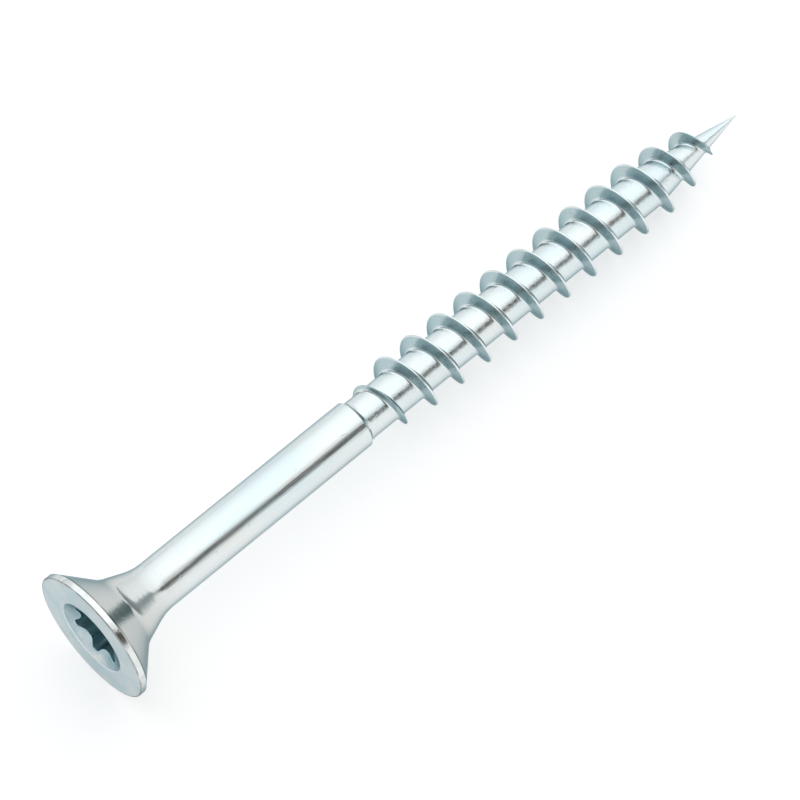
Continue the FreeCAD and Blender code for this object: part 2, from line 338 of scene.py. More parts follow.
@dataclass(frozen=True)
class DriveRecess:
    """The six-lobe recess with its round dish, from the bottom up to the face."""

    sizes: ScrewSizes
    edge_rounding: float = 0.07
    corner_rounding: float = 0.16
    rounding_steps: int = 5
    wall_steps: int = 7
    floor_steps: int = 5
    dish_steps: int = 9
    innermost: float = 0.06
    least_gap: float = 0.002

    def lobed_radius(self, turn: np.ndarray) -> np.ndarray:
        """Radius of the outline, in which round lobes pass into hollow flutes.

        Args:
            turn: Angles about the axis.

        Returns:
            The outline's radius at each angle.
        """
        s = self.sizes
        half = math.pi / s.lobes
        folded = np.abs((turn + half) % (2 * half) - half)
        centre = s.lobe_reach - s.lobe_rounding
        spread = centre ** 2 + s.lobe_root ** 2 - 2 * centre * s.lobe_root * math.cos(half)
        reach = s.lobe_rounding - s.lobe_root + centre * math.cos(half)
        flute = (spread - s.lobe_rounding ** 2) / (2 * reach)
        far = s.lobe_root + flute
        share = s.lobe_rounding / (s.lobe_rounding + flute)
        touch_x = centre + (far * math.cos(half) - centre) * share
        touch_y = far * math.sin(half) * share
        lobe = centre * np.cos(folded) + np.sqrt(
            np.maximum(s.lobe_rounding ** 2 - (centre * np.sin(folded)) ** 2, 0))
        swing = half - folded
        hollow = far * np.cos(swing) - np.sqrt(np.maximum(flute ** 2 - (far * np.sin(swing)) ** 2, 0))
        return np.where(folded < math.atan2(touch_y, touch_x), lobe, hollow)

    def dish_depth(self, radius: np.ndarray | float) -> np.ndarray | float:
        """Station of the dish's cone at a radius."""
        return (self.sizes.dish_radius - radius) * self.sizes.dish_slope

    def bottom_depth(self, radius: float) -> float:
        """Station of the bottom's cone at a radius.

        Args:
            radius: Distance from the axis, up to the bottom's own radius.

        Returns:
            The station in millimetres.
        """
        s = self.sizes
        slope = 1 / math.tan(math.radians(s.bottom_angle / 2))
        return s.recess_depth + (s.bottom_radius - radius) * slope

    def rings(self) -> list[tuple[np.ndarray | float, np.ndarray | float]]:
        """The rings from the middle of the bottom to the edge of the dish.

        Returns:
            Pairs of radius and station, which may be rows with one number for each angle.
        """
        s = self.sizes
        outline = self.lobed_radius(RING_ANGLES)
        rings = []
        for radius in np.linspace(self.innermost, s.bottom_radius, self.floor_steps).tolist():
            rings.append((radius, self.bottom_depth(radius)))
        rounding, edge = self.corner_rounding, self.edge_rounding
        for angle in np.linspace(0, math.pi / 2, self.rounding_steps + 1):
            inward = rounding * (1 - math.sin(angle))
            rings.append((np.maximum(outline - inward, s.bottom_radius + self.least_gap),
                          s.recess_depth - rounding * (1 - math.cos(angle))))
        low, high = s.recess_depth - rounding, self.dish_depth(outline) + edge
        for share in np.linspace(0, 1, self.wall_steps + 1)[1:]:
            rings.append((outline, low + (high - low) * share))
        for angle in np.linspace(0, math.pi / 2, self.rounding_steps + 1)[1:]:
            out = edge * (1 - math.cos(angle))
            rise = edge * math.sin(angle)
            flat = self.dish_depth(outline + out)
            blend = math.sin(angle)
            rings.append((outline + out, (high - rise) * (1 - blend) + flat * blend))
        wide = outline + edge
        for share in np.linspace(0, 1, self.dish_steps + 1)[1:]:
            radius = wide + (s.dish_radius - edge - wide) * share
            rings.append((radius, self.dish_depth(radius)))
        return rings

    def build(self, skin: Skin) -> np.ndarray:
        """Adds the recess.

        Args:
            skin: Where the faces go.

        Returns:
            The ring at the dish's edge, which the head's face carries on from.
        """
        centre = skin.add_axis_point(self.bottom_depth(0))
        rings = [skin.add_ring(radius, station) for radius, station in self.rings()]
        skin.cap(rings[0], centre, Zone.RECESS, inside=True)
        walls = self.floor_steps + 2 * self.rounding_steps + self.wall_steps
        for index, (near, far) in enumerate(zip(rings, rings[1:])):
            skin.bridge(near, far, Zone.RECESS if index < walls else Zone.DISH)
        return rings[-1]


@dataclass(frozen=True)
class Corner:
    """A corner of the blank's outline, with the arc that takes its place where it has steps."""

    radius: float
    station: float
    rounding: float = 0.0
    steps: int = 0

    @property
    def spot(self) -> Vector:
        """The corner's radius and station."""
        return Vector((self.radius, self.station))

    def arc(self, before: "Corner", after: "Corner") -> list[tuple[float, float]]:
        """Points along the corner's arc.

        Args:
            before: The corner that comes before this one.
            after: The corner that comes after it.

        Returns:
            Pairs of radius and station.
        """
        back = (before.spot - self.spot).normalized()
        ahead = (after.spot - self.spot).normalized()
        half = back.angle(ahead) / 2
        centre = self.spot + (back + ahead).normalized() * (self.rounding / math.sin(half))
        start = self.spot + back * (self.rounding / math.tan(half)) - centre
        swing = math.pi - 2 * half
        if start.x * ahead.y - start.y * ahead.x < 0:
            swing = -swing
        points = []
        for angle in (swing * step / self.steps for step in range(self.steps + 1)):
            turned = Vector((start.x * math.cos(angle) - start.y * math.sin(angle),
                             start.x * math.sin(angle) + start.y * math.cos(angle)))
            points.append(tuple(centre + turned))
        return points


@dataclass(frozen=True)
class ForgedBlank:
    """Face, rim, cone, neck and shank as one turned skin."""

    sizes: ScrewSizes
    edge_steps: int = 6
    blend_steps: int = 12
    longest_step: float = 1.6
    forged_margin: float = 0.5
    dish_lip: float = 0.07
    dish_lead: float = 1.0
    land_rounding: float = 0.06
    step_rounding: float = 0.05

    def corners(self) -> list[Corner]:
        """The outline's corners, from a point on the dish's slope to the thread's start.

        Returns:
            The corners in order, of which the first and the last aren't rounded.
        """
        s = self.sizes
        lip = self.dish_lip / math.tan(math.radians(s.dish_angle / 2)) / 2
        step_start = s.thread_start - s.step_length
        return [
            Corner(s.dish_radius - self.dish_lead, self.dish_lead * s.dish_slope),
            Corner(s.dish_radius, 0, lip, self.edge_steps),
            Corner(s.head_radius, 0, s.rim_rounding, self.edge_steps),
            Corner(s.head_radius, s.rim_land, self.land_rounding, self.edge_steps),
            Corner(s.neck_radius, s.cone_end, s.neck_blend, self.blend_steps),
            Corner(s.shank_radius, s.neck_end, s.shank_blend, self.blend_steps),
            Corner(s.shank_radius, step_start, self.step_rounding, self.edge_steps),
            Corner(s.core_radius, s.thread_start),
        ]

    def profile(self) -> list[tuple[float, float]]:
        """The rings from the dish's edge to the thread's start, none far from the next.

        Returns:
            Pairs of radius and station.
        """
        corners = self.corners()
        line: list[tuple[float, float]] = []
        for before, corner, after in zip(corners, corners[1:], corners[2:]):
            line += corner.arc(before, after)
        line.append((corners[-1].radius, corners[-1].station))
        divided = [line[0]]
        for here, following in zip(line, line[1:]):
            parts = max(1, round(math.dist(here, following) / self.longest_step))
            for share in (part / parts for part in range(1, parts + 1)):
                divided.append((here[0] + (following[0] - here[0]) * share,
                                here[1] + (following[1] - here[1]) * share))
        return divided

    def zone_at(self, station: float) -> Zone:
        """The area that a band belongs to.

        Args:
            station: Where the band ends.

        Returns:
            The face, the flare under it or the shank.
        """
        s = self.sizes
        if station < s.rim_land / 2:
            return Zone.FACE
        return Zone.FLARE if station < s.neck_end + self.forged_margin else Zone.SHANK

    def build(self, skin: Skin, mouth: np.ndarray) -> np.ndarray:
        """Adds the head and shank.

        Args:
            skin: Where the faces go.
            mouth: The ring at the dish's edge.

        Returns:
            The ring where the thread starts.
        """
        near = mouth
        for radius, station in self.profile():
            far = skin.add_ring(radius, station)
            skin.bridge(near, far, self.zone_at(station))
            near = far
        return near


@dataclass(frozen=True)
class RolledThread:
    """The thread and the point: columns of points that follow the ridge."""

    sizes: ScrewSizes
    crest_station: float
    root_fillet: float = 0.16
    root_fillet_share: float = 0.4
    crest_fillet: float = 0.035
    crest_fillet_share: float = 0.2
    least_crest_share: float = 0.3
    fillet_steps: int = 4
    root_steps: int = 3
    flank_steps: int = 2
    least_height: float = 0.2
    turns_past_end: float = 1.6
    waviness: float = 0.012
    least_wave: float = 0.3
    wave_rates: tuple[float, ...] = (0.37, 0.81, 1.9, 3.3, 5.7, 9.1)
    wavy_height: float = 0.4
    seed: int = 7
    needle_steps: int = 5
    tip_steps: int = 4

    def core_radius(self, station: np.ndarray | float) -> np.ndarray:
        """Radius of the straight core and of the cone that ends it.

        Args:
            station: One station or more along the axis.

        Returns:
            The radius at each station.
        """
        s = self.sizes
        share = np.clip((station - s.point_start) / s.point_length, 0, 1)
        return s.core_radius + (s.tip_radius - s.core_radius) * share

    def height(self, station: float) -> float:
        """Height of the ridge: nothing at either end, full in between.

        Args:
            station: Where the middle of the crest is.

        Returns:
            The height in millimetres.
        """
        s = self.sizes
        growing = (station - s.thread_start) / s.runout_length
        fading = (s.thread_end - station) / s.fade_length
        return float(s.ridge_height * np.clip(min(growing, fading), 0, 1))

    def half_section(self, height: float) -> list[tuple[float, float]]:
        """Right half of the ridge's section.

        Args:
            height: Height of the ridge in millimetres.

        Returns:
            Pairs of offset and share of the height, from the middle of the crest to the root.
        """
        s = self.sizes
        lean = math.radians(s.flank_angle / 2)
        crest = s.crest_width / 2 * height / s.ridge_height
        foot = crest + height * math.tan(lean)
        small = min(self.crest_fillet, height * self.crest_fillet_share)
        large = min(self.root_fillet, height * self.root_fillet_share)
        flat = (max(crest - small, crest * self.least_crest_share), 1.0)
        down = (crest + small * math.sin(lean), 1 - small * math.cos(lean) / height)
        up = (foot - large * math.sin(lean), large * math.cos(lean) / height)
        half = [(0.0, 1.0), *self.curved(flat, (crest, 1.0), down)]
        for share in (step / (self.flank_steps + 1) for step in range(1, self.flank_steps + 1)):
            half.append((down[0] + (up[0] - down[0]) * share, down[1] + (up[1] - down[1]) * share))
        last = foot + large
        half += self.curved(up, (foot, 0.0), (last, 0.0))
        for step in range(1, self.root_steps):
            half.append((last + (s.pitch / 2 - last) * step / self.root_steps, 0.0))
        return half

    def curved(self, start: tuple[float, float], corner: tuple[float, float],
               stop: tuple[float, float]) -> list[tuple[float, float]]:
        """A corner rounded by a quadratic curve through its two tangents.

        Args:
            start: Where the curve leaves the first side.
            corner: Where the two sides meet.
            stop: Where the curve joins the second side.

        Returns:
            The curve's points.
        """
        points = []
        for t in (step / self.fillet_steps for step in range(self.fillet_steps + 1)):
            points.append(tuple(start[k] * (1 - t) ** 2 + 2 * corner[k] * t * (1 - t) + stop[k] * t ** 2
                                for k in range(2)))
        return points

    def dips(self, turns: np.ndarray) -> np.ndarray:
        """Slight dips of the crest, the same in each run.

        Args:
            turns: Turns of the thread, one for each column.

        Returns:
            Heights to add, none above zero.
        """
        rng = np.random.default_rng(self.seed)
        waves = sum(rng.uniform(self.least_wave, 1)
                    * np.sin(FULL_TURN * turns * rate + rng.uniform(0, FULL_TURN))
                    for rate in self.wave_rates)
        return (waves - waves.max()) / (waves.max() - waves.min()) * self.waviness

    def column(self, skin: Skin, index: int, dip: float, start_ring: np.ndarray,
               end_ring: np.ndarray) -> np.ndarray:
        """Adds one column of points across the ridge, half a pitch to either side of its crest.

        Args:
            skin: Where the points go.
            index: The column's step, counted from the crest that touches the table.
            dip: What the waves of the crest add to its height.
            start_ring: The ring where the thread starts.
            end_ring: The ring where the thread has faded out.

        Returns:
            The column's indices, with a ring's point in place of each point beyond that ring.
        """
        s = self.sizes
        centre = self.crest_station + s.pitch * index / STEPS_PER_TURN
        ridge = self.height(centre)
        right = np.array(self.half_section(max(ridge, self.least_height)))
        left = right[:0:-1] * (-1, 1)
        section = np.vstack(([(-s.pitch / 2, 0.0)], left, right))
        station = centre + section[:, 0]
        radius = self.core_radius(station)
        radius = radius + section[:, 1] * max(ridge + dip * min(1, ridge / self.wavy_height), 0)
        turn = FULL_TURN * index / STEPS_PER_TURN
        across, aside = radius * math.cos(turn), radius * math.sin(turn)
        ids = skin.add_points(np.column_stack((across, aside, station)))
        ids = np.where(station < s.thread_start, start_ring[index % STEPS_PER_TURN], ids)
        return np.where(station > s.thread_end, end_ring[index % STEPS_PER_TURN], ids)

    def build(self, skin: Skin, start_ring: np.ndarray) -> None:
        """Adds the thread, the bare needle and its rounded tip.

        Args:
            skin: Where the faces go.
            start_ring: The ring where the thread starts.
        """
        s = self.sizes
        before = s.thread_start - s.pitch - self.crest_station
        beyond = s.thread_end + s.pitch * self.turns_past_end - self.crest_station
        first = math.floor(before / s.pitch * STEPS_PER_TURN)
        last = math.ceil(beyond / s.pitch * STEPS_PER_TURN)
        end_ring = skin.add_ring(float(self.core_radius(s.thread_end)), s.thread_end)
        dips = self.dips(np.arange(first, last + 1) / STEPS_PER_TURN)
        columns = [self.column(skin, index, float(dip), start_ring, end_ring)
                   for index, dip in zip(range(first, last + 1), dips)]
        for index, (near, far) in enumerate(zip(columns, columns[1:])):
            for k in range(len(near) - 1):
                skin.add_face((near[k], far[k], far[k + 1], near[k + 1]), Zone.THREAD)
            next_turn = columns[index + STEPS_PER_TURN:index + STEPS_PER_TURN + 2]
            if len(next_turn) == 2:
                skin.add_face((near[-1], far[-1], next_turn[1][0], next_turn[0][0]), Zone.THREAD)
        self.build_needle(skin, end_ring)

    def build_needle(self, skin: Skin, ring: np.ndarray) -> None:
        """Adds the bare end of the point.

        Args:
            skin: Where the faces go.
            ring: The ring where the thread has faded out.
        """
        s = self.sizes
        straight = s.length - s.tip_radius
        radius = float(self.core_radius(straight))
        stations = np.linspace(s.thread_end, straight, self.needle_steps + 1)[1:].tolist()
        outline = [(float(self.core_radius(station)), station) for station in stations]
        for angle in (math.pi / 2 * step / self.tip_steps for step in range(1, self.tip_steps)):
            outline.append((radius * math.cos(angle), straight + s.tip_radius * math.sin(angle)))
        near = ring
        for width, station in outline:
            far = skin.add_ring(width, station)
            skin.bridge(near, far, Zone.THREAD)
            near = far
        skin.cap(near, skin.add_axis_point(s.length), Zone.THREAD, inside=False)


@dataclass(frozen=True)
class Noise:
    """Settings of a noise texture."""

    scale: float
    detail: float = 2.0
    roughness: float = 0.5


@dataclass(frozen=True)
class Ramp:
    """A smooth change from one value to another over a range."""

    low: float
    high: float
    start: float = 0.0
    stop: float = 1.0

    def moved(self, origin: float) -> "Ramp":
        """The same change, with its range counted from an origin."""
        return Ramp(origin + self.low, origin + self.high, self.start, self.stop)

    def of(self, size: float) -> "Ramp":
        """The same change, with its range given in shares of a size."""
        return Ramp(self.low * size, self.high * size, self.start, self.stop)


class Graph:
    """A node tree that is filled one node at a time."""

    spacing = 180

    def __init__(self, tree: bpy.types.NodeTree) -> None:
        """Starts at the left of a tree."""
        self.tree = tree
        self.column = 0

    def add(self, kind: str, inputs: Inputs | None = None, **settings: object) -> bpy.types.Node:
        """Adds a node.

        Args:
            kind: The node's type.
            inputs: For each input's name or index, a socket to link from or a fixed value.
            **settings: The node's own settings.

        Returns:
            The new node.
        """
        node = self.tree.nodes.new(kind)
        node.location = (self.column * self.spacing, 0)
        self.column += 1
        for name, value in settings.items():
            setattr(node, name, value)
        for key, value in (inputs or {}).items():
            if isinstance(value, bpy.types.NodeSocket):
                self.tree.links.new(value, node.inputs[key])
            else:
                node.inputs[key].default_value = value
        return node

    def placed(self, group: bpy.types.NodeTree, inputs: Inputs | None = None) -> dict[str, Socket]:
        """The outputs of a shared group that is placed in this tree."""
        return dict(self.add("ShaderNodeGroup", inputs, node_tree=group).outputs.items())

    def math(self, operation: str, *values: Socket | float) -> Socket:
        """A Math node's result."""
        return self.add("ShaderNodeMath", dict(enumerate(values)), operation=operation).outputs[0]

    def vector(self, operation: str, *values: object) -> Socket:
        """A Vector Math node's vector."""
        inputs = dict(enumerate(values))
        return self.add("ShaderNodeVectorMath", inputs, operation=operation).outputs["Vector"]

    def scaled(self, vector: Socket, factor: Socket | float) -> Socket:
        """A vector made longer by a factor."""
        inputs = {0: vector, "Scale": factor}
        return self.add("ShaderNodeVectorMath", inputs, operation="SCALE").outputs["Vector"]

    def dot(self, vector: Socket, axis: Triple) -> Socket:
        """How far a vector reaches along an axis."""
        inputs = {0: vector, 1: tuple(axis)}
        return self.add("ShaderNodeVectorMath", inputs, operation="DOT_PRODUCT").outputs["Value"]

    def joined(self, *parts: Socket) -> Socket:
        """A vector of up to three parts."""
        return self.add("ShaderNodeCombineXYZ", dict(enumerate(parts))).outputs[0]

    def noise(self, vector: Socket, noise: Noise, output: str = "Fac") -> Socket:
        """A noise texture's value, or its colour."""
        inputs = {"Vector": vector, "Scale": noise.scale, "Detail": noise.detail,
                  "Roughness": noise.roughness}
        return self.add("ShaderNodeTexNoise", inputs).outputs[output]

    def cells(self, vector: Socket, scale: float) -> Socket:
        """Distance to the nearest of many scattered points."""
        return self.add("ShaderNodeTexVoronoi", {"Vector": vector, "Scale": scale}).outputs["Distance"]

    def between(self, value: Socket, ramp: Ramp) -> Socket:
        """A value after a ramp."""
        inputs = {"Value": value, "From Min": ramp.low, "From Max": ramp.high,
                  "To Min": ramp.start, "To Max": ramp.stop}
        return self.add("ShaderNodeMapRange", inputs, interpolation_type="SMOOTHSTEP").outputs["Result"]

    def mixed(self, factor: Socket | float, first: object, second: object) -> Socket:
        """A mix of two colours, which are the Mix node's inputs 6 and 7 and its output 2."""
        return self.add("ShaderNodeMix", {0: factor, 6: first, 7: second}, data_type="RGBA").outputs[2]


class EffectGroup:
    """A shader node group while it is being filled."""

    def __init__(self, name: str, inputs: dict[str, tuple[str, object]],
                 outputs: dict[str, str]) -> None:
        """Starts the group.

        Args:
            name: The group's name.
            inputs: Kind and default value of each input.
            outputs: Kind of each output.
        """
        self.tree = bpy.data.node_groups.new(name, "ShaderNodeTree")
        for label, (kind, value) in inputs.items():
            socket = self.tree.interface.new_socket(
                label, in_out="INPUT", socket_type=f"NodeSocket{kind}")
            if value is not None:
                socket.default_value = value
        for label, kind in outputs.items():
            self.tree.interface.new_socket(label, in_out="OUTPUT", socket_type=f"NodeSocket{kind}")
        self.graph = Graph(self.tree)
        self.given = dict(self.graph.add("NodeGroupInput").outputs.items())
        self.out = self.graph.add("NodeGroupOutput")

    def filled(self, results: dict[str, Socket]) -> bpy.types.NodeTree:
        """Links the group's outputs.

        Args:
            results: What each output puts out.

        Returns:
            The group's tree.
        """
        for label, socket in results.items():
            self.tree.links.new(socket, self.out.inputs[label])
        return self.tree


@dataclass(frozen=True)
class ScrewFrame:
    """Coordinates in millimetres in the screw's own frame, and the height over the thread's core."""

    place: RestingPlace

    def build(self) -> bpy.types.NodeTree:
        """Makes the node group.

        Returns:
            The group's tree.
        """
        kinds = {"Place": "Vector", "Along": "Float", "Radius": "Float", "Lift": "Float"}
        group = EffectGroup("screw_frame", {}, kinds)
        graph, sizes = group.graph, self.place.sizes
        point = graph.add("ShaderNodeTexCoord").outputs["Object"]
        own = graph.scaled(graph.vector("SUBTRACT", point, tuple(self.place.base)), 1 / MM)
        across = graph.dot(own, self.place.down)
        aside = graph.dot(own, (0, 1, 0))
        along = graph.dot(own, self.place.along)
        flat = graph.joined(across, aside)
        radius = graph.add("ShaderNodeVectorMath", {0: flat}, operation="LENGTH").outputs["Value"]
        into_point = graph.math("MAXIMUM", graph.math("SUBTRACT", along, sizes.point_start), 0.0)
        share = graph.math("DIVIDE", into_point, sizes.point_length)
        taper = sizes.tip_radius - sizes.core_radius
        core = graph.math("MULTIPLY_ADD", share, taper, sizes.core_radius)
        return group.filled({"Place": graph.joined(across, aside, along), "Along": along,
                             "Radius": radius, "Lift": graph.math("SUBTRACT", radius, core)})


@dataclass(frozen=True)
class DrawnGrain:
    """Fine lines along the axis, as a drawn wire has."""

    stretch: Triple = (1, 1, 0.035)
    coarse: Noise = Noise(1.0, 3.0, 0.6)
    fine: Noise = Noise(4.1)
    fine_share: float = 0.4

    def build(self) -> bpy.types.NodeTree:
        """Makes the node group.

        Returns:
            The group's tree.
        """
        inputs = {"Place": PLACE, "Fineness": ("Float", 3.0)}
        group = EffectGroup("drawn_grain", inputs, {"Height": "Float"})
        graph, given = group.graph, group.given
        drawn = graph.scaled(graph.vector("MULTIPLY", given["Place"], self.stretch), given["Fineness"])
        coarse = graph.noise(drawn, self.coarse)
        fine = graph.noise(drawn, self.fine)
        return group.filled({"Height": graph.math("MULTIPLY_ADD", fine, self.fine_share, coarse)})


@dataclass(frozen=True)
class RingGrain:
    """Fine rings about the axis, as forging dies leave them."""

    drift: float = 0.12
    rings: Noise = Noise(1.0, 4.0, 0.62)

    def build(self) -> bpy.types.NodeTree:
        """Makes the node group.

        Returns:
            The group's tree.
        """
        inputs = {"Place": PLACE, "Along": DISTANCE, "Radius": DISTANCE, "Fineness": ("Float", 4.0)}
        group = EffectGroup("ring_grain", inputs, {"Height": "Float"})
        graph, given = group.graph, group.given
        rings = graph.joined(given["Along"], given["Radius"])
        uneven = graph.vector("ADD", rings, graph.scaled(given["Place"], self.drift))
        place = graph.scaled(uneven, given["Fineness"])
        return group.filled({"Height": graph.noise(place, self.rings)})


@dataclass(frozen=True)
class SatinGrain:
    """Even fine grain of the plating."""

    coarse: Noise = Noise(1.0, 3.0, 0.55)
    cell_scale: float = 1.7
    cell_share: float = 0.35

    def build(self) -> bpy.types.NodeTree:
        """Makes the node group.

        Returns:
            The group's tree.
        """
        inputs = {"Place": PLACE, "Fineness": ("Float", 6.0)}
        group = EffectGroup("satin_grain", inputs, {"Height": "Float"})
        graph = group.graph
        place = graph.scaled(group.given["Place"], group.given["Fineness"])
        coarse = graph.noise(place, self.coarse)
        cells = graph.cells(place, self.cell_scale)
        return group.filled({"Height": graph.math("MULTIPLY_ADD", cells, self.cell_share, coarse)})


@dataclass(frozen=True)
class PlatingTint:
    """Slow drift of the plating between silver, a blue cast and a warm one."""

    stretch: Triple = (1, 1, 0.3)
    cool_spots: Noise = Noise(0.4)
    cool: Ramp = Ramp(0.35, 0.68)
    warm_spots: Noise = Noise(0.55)
    warm: Ramp = Ramp(0.5, 0.8)
    warm_share: float = 0.7

    def build(self) -> bpy.types.NodeTree:
        """Makes the node group.

        Returns:
            The group's tree.
        """
        inputs = {"Place": PLACE, "Silver": ("Color", (0.8, 0.82, 0.83, 1)),
                  "Blue": ("Color", (0.7, 0.8, 0.84, 1)), "Warm": ("Color", (0.82, 0.79, 0.74, 1))}
        group = EffectGroup("plating_tint", inputs, {"Color": "Color"})
        graph, given = group.graph, group.given
        drawn = graph.vector("MULTIPLY", given["Place"], self.stretch)
        cool = graph.between(graph.noise(drawn, self.cool_spots), self.cool)
        warm = graph.between(graph.noise(drawn, self.warm_spots), self.warm)
        blue = graph.mixed(cool, given["Silver"], given["Blue"])
        warmth = graph.math("MULTIPLY", warm, self.warm_share)
        return group.filled({"Color": graph.mixed(warmth, blue, given["Warm"])})


@dataclass(frozen=True)
class Nicks:
    """Sparse small dents and rubs from handling: round ones, some across the axis and some along it."""

    shapes: tuple[tuple[Triple, float], ...] = (
        ((1.0, 1.0, 1.0), 0.9), ((0.25, 1.1, 1.0), 1.2), ((1.0, 1.0, 0.22), 1.5))
    bend: Triple = (0.4, 0.4, 0.4)
    bend_noise: Noise = Noise(1.3)
    edge: Ramp = Ramp(0.10, 0.04)

    def build(self) -> bpy.types.NodeTree:
        """Makes the node group.

        Returns:
            The group's tree.
        """
        group = EffectGroup("nicks", {"Place": PLACE}, {"Mask": "Float"})
        graph, place = group.graph, group.given["Place"]
        bent = graph.noise(place, self.bend_noise, "Color")
        mask = None
        for stretch, scale in self.shapes:
            drawn = graph.vector("MULTIPLY", place, stretch)
            pushed = graph.vector("MULTIPLY_ADD", bent, self.bend, drawn)
            nick = graph.between(graph.cells(pushed, scale), self.edge)
            mask = nick if mask is None else graph.math("MAXIMUM", nick, mask)
        return group.filled({"Mask": mask})


@dataclass(frozen=True)
class WornEdge:
    """Mask of the rim, the dish's lip and the crests, where rubbing brightens the plating.

    The rim counts from the head's outside and the crest's start from the thread's start. The crest
    itself is in shares of the ridge's height.
    """

    sizes: ScrewSizes
    rim: Ramp = Ramp(-0.12, -0.03)
    off_lip: Ramp = Ramp(0.12, 0.03)
    lip_depth: Ramp = Ramp(0.12, 0.04)
    crest: Ramp = Ramp(0.90, 0.98)
    crest_start: Ramp = Ramp(0.0, 0.5)
    patches: Noise = Noise(1.7, 3.0)
    uneven: Ramp = Ramp(0.32, 0.60, 0.35, 1.0)

    def build(self) -> bpy.types.NodeTree:
        """Makes the node group.

        Returns:
            The group's tree.
        """
        inputs = {"Place": PLACE, "Along": DISTANCE, "Radius": DISTANCE, "Lift": DISTANCE}
        group = EffectGroup("worn_edge", inputs, {"Mask": "Float"})
        graph, given, s = group.graph, group.given, self.sizes
        rim = graph.between(given["Radius"], self.rim.moved(s.head_radius))
        off_lip = graph.math("ABSOLUTE", graph.math("SUBTRACT", given["Radius"], s.dish_radius))
        lip = graph.math("MULTIPLY", graph.between(off_lip, self.off_lip),
                         graph.between(given["Along"], self.lip_depth))
        crest = graph.math("MULTIPLY", graph.between(given["Lift"], self.crest.of(s.ridge_height)),
                           graph.between(given["Along"], self.crest_start.moved(s.thread_start)))
        uneven = graph.between(graph.noise(given["Place"], self.patches), self.uneven)
        edges = graph.math("MAXIMUM", rim, graph.math("MAXIMUM", lip, crest))
        return group.filled({"Mask": graph.math("MULTIPLY", edges, uneven)})


@dataclass(frozen=True)
class RidgeFlank:
    """Mask of the thread's flanks, which get a painted shade: their colour is mixed towards a darker
    one.

    Both ramps are in shares of the ridge's height.
    """

    sizes: ScrewSizes
    over_root: Ramp = Ramp(0.03, 0.25)
    under_crest: Ramp = Ramp(0.97, 0.88)

    def build(self) -> bpy.types.NodeTree:
        """Makes the node group.

        Returns:
            The group's tree.
        """
        group = EffectGroup("ridge_flank", {"Lift": DISTANCE}, {"Mask": "Float"})
        graph, lift, full = group.graph, group.given["Lift"], self.sizes.ridge_height
        above = graph.between(lift, self.over_root.of(full))
        below = graph.between(lift, self.under_crest.of(full))
        return group.filled({"Mask": graph.math("MULTIPLY", above, below)})


@dataclass(frozen=True)
class DieSeams:
    """Mask of the thin dark lines that the heading die leaves on either side of the rim.

    The rims count from the head's outside and the line behind from the end of the rim's land. The
    depth of the line ahead is in shares of the rim's rounding.
    """

    sizes: ScrewSizes
    rim: Ramp = Ramp(-0.30, -0.20)
    behind_start: Ramp = Ramp(0.01, 0.05)
    behind_end: Ramp = Ramp(0.20, 0.10)
    ahead_depth: Ramp = Ramp(1.0, 0.5)
    ahead_rim: Ramp = Ramp(-0.14, -0.08)
    patches: Noise = Noise(0.9, 3.0)
    uneven: Ramp = Ramp(0.30, 0.55, 0.35, 1.0)

    def build(self) -> bpy.types.NodeTree:
        """Makes the node group.

        Returns:
            The group's tree.
        """
        inputs = {"Place": PLACE, "Along": DISTANCE, "Radius": DISTANCE}
        group = EffectGroup("die_seams", inputs, {"Mask": "Float"})
        graph, s = group.graph, self.sizes
        along, radius = group.given["Along"], group.given["Radius"]
        rim = graph.between(radius, self.rim.moved(s.head_radius))
        behind = graph.math("MULTIPLY", graph.between(along, self.behind_start.moved(s.rim_land)),
                            graph.between(along, self.behind_end.moved(s.rim_land)))
        ahead = graph.math("MULTIPLY", graph.between(along, self.ahead_depth.of(s.rim_rounding)),
                           graph.between(radius, self.ahead_rim.moved(s.head_radius)))
        lines = graph.math("MAXIMUM", graph.math("MULTIPLY", behind, rim), ahead)
        uneven = graph.between(graph.noise(group.given["Place"], self.patches), self.uneven)
        return group.filled({"Mask": graph.math("MULTIPLY", lines, uneven)})


@dataclass(frozen=True)
class ForgeGreyAndShade:
    """Mask of the upset end under the head, where forge grey and painted shade make it darker than the
    drawn shank, fading into it.
    """

    sizes: ScrewSizes
    reach: float = 2.5

    def build(self) -> bpy.types.NodeTree:
        """Makes the node group.

        Returns:
            The group's tree.
        """
        group = EffectGroup("forge_grey_and_shade", {"Along": DISTANCE}, {"Mask": "Float"})
        fading = Ramp(self.sizes.neck_end + self.reach, self.sizes.cone_end)
        return group.filled({"Mask": group.graph.between(group.given["Along"], fading)})


class Grain(Enum):
    """Which way the fine marks of a surface run."""

    ALONG = "along the axis"
    AROUND = "around the axis"
    EVEN = "every way"


class SharedEffects:
    """The node groups that more than one finish uses, each made once."""

    def __init__(self, place: RestingPlace) -> None:
        """Makes the groups.

        Args:
            place: How the screw lies, with its sizes.
        """
        self.screw_frame = ScrewFrame(place).build()
        self.grains = {Grain.ALONG: DrawnGrain().build(), Grain.AROUND: RingGrain().build(),
                       Grain.EVEN: SatinGrain().build()}
        self.plating_tint = PlatingTint().build()
        self.nicks = Nicks().build()
        self.worn_edge = WornEdge(place.sizes).build()
        self.ridge_flank = RidgeFlank(place.sizes).build()
        self.die_seams = DieSeams(place.sizes).build()
        self.forge_grey_and_shade = ForgeGreyAndShade(place.sizes).build()


